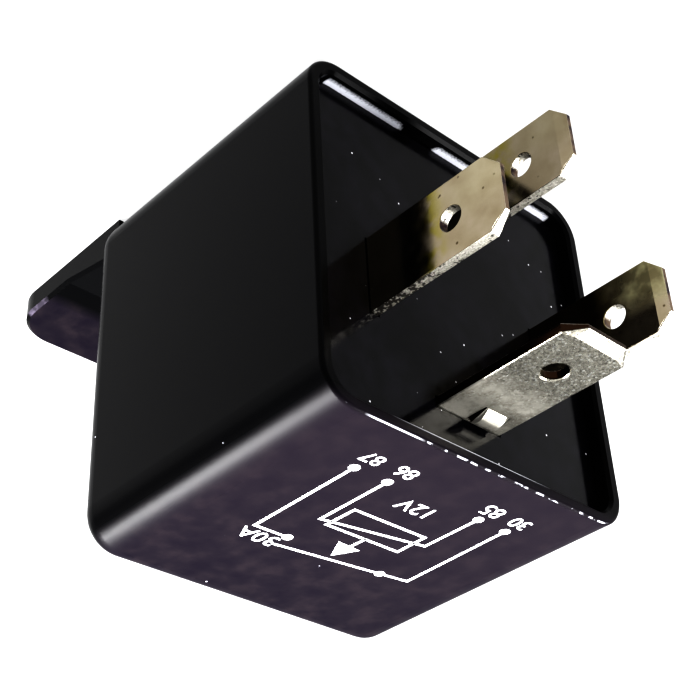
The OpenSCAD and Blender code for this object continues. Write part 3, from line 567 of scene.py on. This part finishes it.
def flatTerminal(name, inside, sideY, middle):
    # inside is the outline past the base's inner face; across runs along Z, along runs into -X
    half = blade["width"] / 2
    reach = blade["out"] + blade["floor"]
    outline = np.array(bladeTip(half) + [[half, reach]] + inside + [[-half, reach]])
    hole = circleLoop(0, blade["holeFromTip"], blade["hole"] / 2)
    points, faces = stampedPlate([outline, hole], blade["thickness"], blade["edge"], bevelRow(half))
    points = bladeThinned(points)
    tip = rimX + blade["out"]
    place = np.column_stack([tip - points[:, 1], sideY + points[:, 2], middle + points[:, 0]])
    piece = buildPiece(name + "Blade", place, faces, brass, "case")
    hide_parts(name)


coilTag = {"shoulder": 7.8, "shoulderHeight": 1.1, "low": 1.7, "high": 3.1, "top": 7.9}
supplyTenon = {"width": 3.2, "top": 5.1}

floorLine = blade["out"] + blade["floor"]
tagOutline = [[coilTag["shoulder"] / 2, floorLine],
              [coilTag["shoulder"] / 2, floorLine + coilTag["shoulderHeight"]],
              [coilTag["high"], floorLine + coilTag["shoulderHeight"]],
              [coilTag["high"], blade["out"] + coilTag["top"]],
              [coilTag["low"], blade["out"] + coilTag["top"]],
              [coilTag["low"], floorLine + coilTag["shoulderHeight"]],
              [-coilTag["shoulder"] / 2, floorLine + coilTag["shoulderHeight"]],
              [-coilTag["shoulder"] / 2, floorLine]]
tenonOutline = [[supplyTenon["width"] / 2, floorLine],
                [supplyTenon["width"] / 2, blade["out"] + supplyTenon["top"]],
                [-supplyTenon["width"] / 2, blade["out"] + supplyTenon["top"]],
                [-supplyTenon["width"] / 2, floorLine]]
for terminal, inside in (("coil_terminal_left", tagOutline), ("coil_terminal_right", tagOutline),
                         ("supply_terminal", tenonOutline)):
    low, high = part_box(terminal)
    flatTerminal(terminal, inside, (low.y + high.y) / 2 / mm, (low.z + high.z) / 2 / mm)

switched = {
    "foldRadius": 0.6, "shelfTop": 19.2, "shelfEnd": 5.6, "contact": 7.6, "rivetHole": 1.5,
    "lanceSide": -0.85, "lanceWidth": 2.2, "lanceFrom": 10.3, "lanceLength": 1.7, "lanceRise": 0.55,
    "windowGap": 0.1, "edge": 0.16, "bendSteps": 9, "bendMargin": 0.5, "bendAcross": 7,
    # the lance's crown as a share of its length, its thickness as a share of the blade's,
    # how far it starts inside the plate, and the grid of points on its faces
    "lanceCrown": 0.66, "lanceThinned": 0.8, "lanceRoot": 0.3,
    "lanceMargin": 0.2, "lanceAlong": 1.45, "lanceSteps": (9, 5),
}


def foldedArm(points, bladeX, rootDepth):
    # Up to the fold the strip is straight; then its centre line turns a quarter circle of
    # foldRadius and runs on at right angles. Height adds to the radius of the turn.
    radius = switched["foldRadius"]
    past = points[:, 1] - rootDepth
    turn = np.clip(past / radius, 0, np.pi / 2)
    rest = np.maximum(past - radius * np.pi / 2, 0)
    arm = radius + points[:, 2]
    height = bladeX - radius + arm * np.cos(turn) - rest
    along = np.minimum(points[:, 1], rootDepth) + arm * np.sin(turn)
    return along, height


def switchedBlade():
    half = blade["width"] / 2
    low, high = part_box("switched_terminal")
    bladeX = (high.z / mm) - switched["lanceRise"] - blade["thickness"] / 2 - middleZ
    radius = switched["foldRadius"]
    root = blade["out"] + switched["shelfTop"] - radius
    steps = switched["bendSteps"]
    bendRows = root + np.linspace(0, radius * np.pi / 2, steps)
    reach = bendRows[-1] + bladeX - radius - switched["shelfEnd"]
    right = np.column_stack([np.full(steps, half), bendRows])
    left = right[::-1] * [-1, 1]
    outline = np.concatenate([bladeTip(half), right, [[half, reach], [-half, reach]], left])
    side, wide = switched["lanceSide"], switched["lanceWidth"] / 2 + switched["windowGap"]
    near, far = switched["lanceFrom"], switched["lanceFrom"] + switched["lanceLength"]
    window = np.array([[side - wide, near], [side - wide, far], [side + wide, far], [side + wide, near]])
    rivet = circleLoop(0, bendRows[-1] + bladeX - radius - switched["contact"], switched["rivetHole"] / 2)
    span = half - switched["bendMargin"]
    across = np.linspace(-span, span, switched["bendAcross"])
    inner = np.array([[a, row] for row in bendRows for a in across])
    inner = np.concatenate([inner, bevelRow(half)])
    hole = circleLoop(0, blade["holeFromTip"], blade["hole"] / 2)
    points, faces = stampedPlate([outline, hole, window, rivet], blade["thickness"],
                                 switched["edge"], inner)
    points = bladeThinned(points)
    along, height = foldedArm(points, bladeX, root)
    plate = np.column_stack([rimX + blade["out"] - along, points[:, 0], middleZ + height])

    # the lance: a tongue that leaves the plate at the window's outer end and rises to a crown;
    # its height is 1 - ((t - c) / c)^2 of the rise, t along it and c the crown's place
    wide = switched["lanceWidth"] / 2
    first, last = near - switched["lanceRoot"], far - switched["windowGap"]
    tongue = np.array([[side - wide, first], [side + wide, first],
                       [side + wide, last], [side - wide, last]])
    alongSteps, acrossSteps = switched["lanceSteps"]
    span = wide - switched["lanceMargin"]
    rows = np.array([[side + a, near + b] for b in np.linspace(0, switched["lanceAlong"], alongSteps)
                     for a in np.linspace(-span, span, acrossSteps)])
    extra, tongueFaces = stampedPlate([tongue], blade["thickness"] * switched["lanceThinned"],
                                      blade["edge"], rows)
    along = np.clip((extra[:, 1] - near) / switched["lanceLength"], 0, 1)
    crown = switched["lanceCrown"]
    lift = (1 - ((along - crown) / crown) ** 2) * switched["lanceRise"]
    lance = np.column_stack([rimX + blade["out"] - extra[:, 1], extra[:, 0],
                             middleZ + bladeX + extra[:, 2] + lift])
    faces += [[i + len(plate) for i in face] for face in tongueFaces]
    piece = buildPiece("switchedBlade", np.concatenate([plate, lance]), faces, tinned, "case")
    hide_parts("switched_terminal")


switchedBlade()
print("terminals made")


# the ink printed on the marked face
marking = {
    "film": 0.02, "line": 0.26, "dot": 0.42,
    # as shares of the film: its rounded edge, the dots' thickness, and half the text's
    "filmEdge": 0.4, "dotFilm": 1.4, "textFilm": 0.9,
    "dotSteps": 32, "letterSteps": 6, "endSteps": 9,
    # depth from the rim and place across, in mm
    "paths": [
        [(5.26, 7.25), (15.4, 7.3), (15.37, 4.3)],
        [(5.29, 4.2), (11.9, 4.3), (10.35, -4.45), (5.15, -4.55)],
        [(5.22, -7.4), (15.25, -7.5), (15.58, -4.93), (16.45, 2.1), (16.75, 4.5)],
        [(12.25, -0.3), (13.8, -0.2)],
    ],
    "dots": [(5.26, 7.25), (5.29, 4.2), (5.15, -4.55), (5.22, -7.4), (15.37, 4.3), (15.58, -4.93)],
    "coil": [(9.45, 3.3), (12.25, 3.4), (12.2, -3.5), (9.4, -3.5)],
    "arrow": [(13.6, 1.0), (15.6, -0.05), (13.75, -1.2)],
    # text, depth, place across, height of a capital
    "numbers": [("87", 3.62, 7.06, 1.75), ("86", 3.55, 4.08, 1.8), ("85", 3.63, -4.47, 1.9),
                ("30", 3.69, -7.36, 1.8), ("12V", 6.66, 0.0, 2.05), ("30A", 16.45, 6.05, 2.05)],
}


def strokeLoop(path, width):
    # the path is followed on one side and back on the other, half a width away along each
    # mitre, and each end is closed by a half circle
    path = np.array(path, float)
    ahead = np.diff(path, axis=0)
    ahead /= np.linalg.norm(ahead, axis=1)[:, None]
    left = np.column_stack([-ahead[:, 1], ahead[:, 0]])
    before, after = np.concatenate([left[:1], left]), np.concatenate([left, left[-1:]])
    mitre = (before + after) / (1 + (before * after).sum(1))[:, None] * width / 2
    turn = np.linspace(0, np.pi, marking["endSteps"])[1:-1][:, None]

    def halfRound(centre, side, forward):
        return centre + width / 2 * (side * np.cos(turn) + forward * np.sin(turn))

    return np.concatenate([(path - mitre), halfRound(path[-1], -left[-1], ahead[-1]),
                           (path + mitre)[::-1], halfRound(path[0], left[0], -ahead[0])])


def printedFilm(name, shapes, film):
    # every shape is a thin plate that lies on the marked face
    points, faces, start = [], [], 0
    for loops in shapes:
        flat, fill = stampedPlate(loops, film, film * marking["filmEdge"], None, 1)
        place = np.column_stack([rimX - flat[:, 0], -flat[:, 1], markedZ + film / 2 + flat[:, 2]])
        points.append(place)
        faces += [[i + start for i in face] for face in fill]
        start += len(place)
    return buildPiece(name, np.concatenate(points), faces, ink, "case")


def markedPlace(path):
    return [(depth, -across) for depth, across in path]


def anticlockwise(loop):
    # the signed area, half the sum of x * nextY - nextX * y, is positive when it is
    loop = np.array(loop)
    ahead = np.roll(loop, -1, 0)
    area = (loop[:, 0] * ahead[:, 1] - ahead[:, 0] * loop[:, 1]).sum() / 2
    return loop if area > 0 else loop[::-1]


shapes = [[strokeLoop(markedPlace(path), marking["line"])] for path in marking["paths"]]
coil = anticlockwise(markedPlace(marking["coil"]))
shapes.append([loopInset(coil, -marking["line"] / 2), loopInset(coil, marking["line"] / 2)[::-1]])
shapes.append([anticlockwise(markedPlace(marking["arrow"]))])
printedFilm("circuitMarking", shapes, marking["film"])
dots = [[circleLoop(depth, -across, marking["dot"], marking["dotSteps"], False)]
        for depth, across in marking["dots"]]
printedFilm("terminalDots", dots, marking["film"] * marking["dotFilm"])
textRise = marking["film"] * marking["textFilm"]

for text, depth, across, height in marking["numbers"]:
    curve = bpy.data.curves.new("mark" + text, "FONT")
    curve.body = text
    curve.size = height * mm
    curve.extrude = textRise * mm
    curve.align_x, curve.align_y = "CENTER", "CENTER"
    curve.resolution_u = marking["letterSteps"]
    written = bpy.data.objects.new("mark" + text, curve)
    bpy.context.scene.collection.objects.link(written)
    bpy.context.view_layer.update()
    shaped = written.evaluated_get(bpy.context.evaluated_depsgraph_get())
    mesh = bpy.data.meshes.new_from_object(shaped)
    bpy.data.objects.remove(written)
    # the line of text runs across, along +Y, with its head towards the closed end
    place = Matrix.Translation(Vector((rimX - depth, across, markedZ + textRise)) * mm)
    mesh.transform(place @ Matrix.Rotation(np.pi / 2, 4, "Z"))
    mesh.materials.clear()
    mesh.materials.append(ink)
    number = bpy.data.objects.new("number" + text, mesh)
    bpy.context.scene.collection.objects.link(number)
    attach(number, "case")
print("marking made")


studio = {
    "floor": 6.0, "floorDrop": 0.02,   # metres across, and mm below the relay
    "floorColor": "#666666", "floorRough": 0.9, "floorGloss": 0.1, "floorGlow": 0.52,
    "worldColor": "#f4f6fa", "worldStrength": 0.52,
    "aim": (20, 0, 15),
    # name, direction towards the lamp, distance, width, height in mm, brightness
    "lamps": [
        ("edgeLamp", (-0.61, 0.37, 0.70), 270, 80, 110, 84),
        ("bevelLamp", (-0.126, -0.687, 0.715), 300, 75, 75, 8.0),
        ("rimLamp", (0.57, -0.58, 0.585), 300, 150, 150, 14),
        ("topLamp", (0.1, 0.1, 1.0), 500, 500, 500, 2.0),
    ],
}

floorSide = studio["floor"] / 2
corners = [(-floorSide, -floorSide), (floorSide, -floorSide), (floorSide, floorSide), (-floorSide, floorSide)]
floorMesh = bpy.data.meshes.new("studioFloor")
floorMesh.from_pydata([(x, y, -studio["floorDrop"] * mm) for x, y in corners], [], [(0, 1, 2, 3)])
floor = bpy.data.objects.new("studioFloor", floorMesh)
bpy.context.scene.collection.objects.link(floor)
floorPaint, tree, shader, place = newMaterial("studioPaper")
# white paper on a light table: matt, and it glows a little
feed(tree, shader, {"Base Color": studio["floorColor"], "Roughness": studio["floorRough"],
                    "Specular IOR Level": studio["floorGloss"],
                    "Emission Color": "#ffffff", "Emission Strength": studio["floorGlow"]})
floorMesh.materials.append(floorPaint)

world = bpy.data.worlds.new("studioWorld")
bpy.context.scene.world = world
world.use_nodes = True
feed(world.node_tree, world.node_tree.nodes["Background"],
     {"Color": studio["worldColor"], "Strength": studio["worldStrength"]})

aim = Vector(studio["aim"]) * mm
for name, direction, distance, width, height, brightness in studio["lamps"]:
    lamp = bpy.data.lights.new(name, "AREA")
    lamp.shape = "RECTANGLE"
    lamp.size, lamp.size_y = width * mm, height * mm
    lamp.energy = brightness * np.pi * lamp.size * lamp.size_y   # watts for that radiance
    holder = bpy.data.objects.new(name, lamp)
    holder.location = aim + Vector(direction).normalized() * distance * mm
    holder.rotation_euler = (aim - holder.location).to_track_quat("-Z", "Y").to_euler()
    bpy.context.scene.collection.objects.link(holder)

# where the viewer stands, in mm, and which way is right, down and ahead of it
view = {
    "place": (88.24, 65.08, 77.73),
    "right": (0.679422, -0.732361, 0.0451),
    "down": (-0.443052, -0.360478, 0.820829),
    "ahead": (-0.584885, -0.57767, -0.569391),
    "lens": 74.54,       # mm
    "nearest": 0.005,    # metres
}
lens = bpy.data.cameras.new("viewCamera")
lens.lens = view["lens"]
lens.clip_start = view["nearest"]
camera = bpy.data.objects.new("viewCamera", lens)
bpy.context.scene.collection.objects.link(camera)
turn = Matrix((view["right"], -Vector(view["down"]), -Vector(view["ahead"]))).transposed()
camera.matrix_world = Matrix.Translation(Vector(view["place"]) * mm) @ turn.to_4x4()
bpy.context.scene.camera = camera
bpy.context.scene.view_settings.view_transform = "Standard"
bpy.context.scene.view_settings.look = "Very High Contrast"   # deep blacks under a white floor
print("studio set")
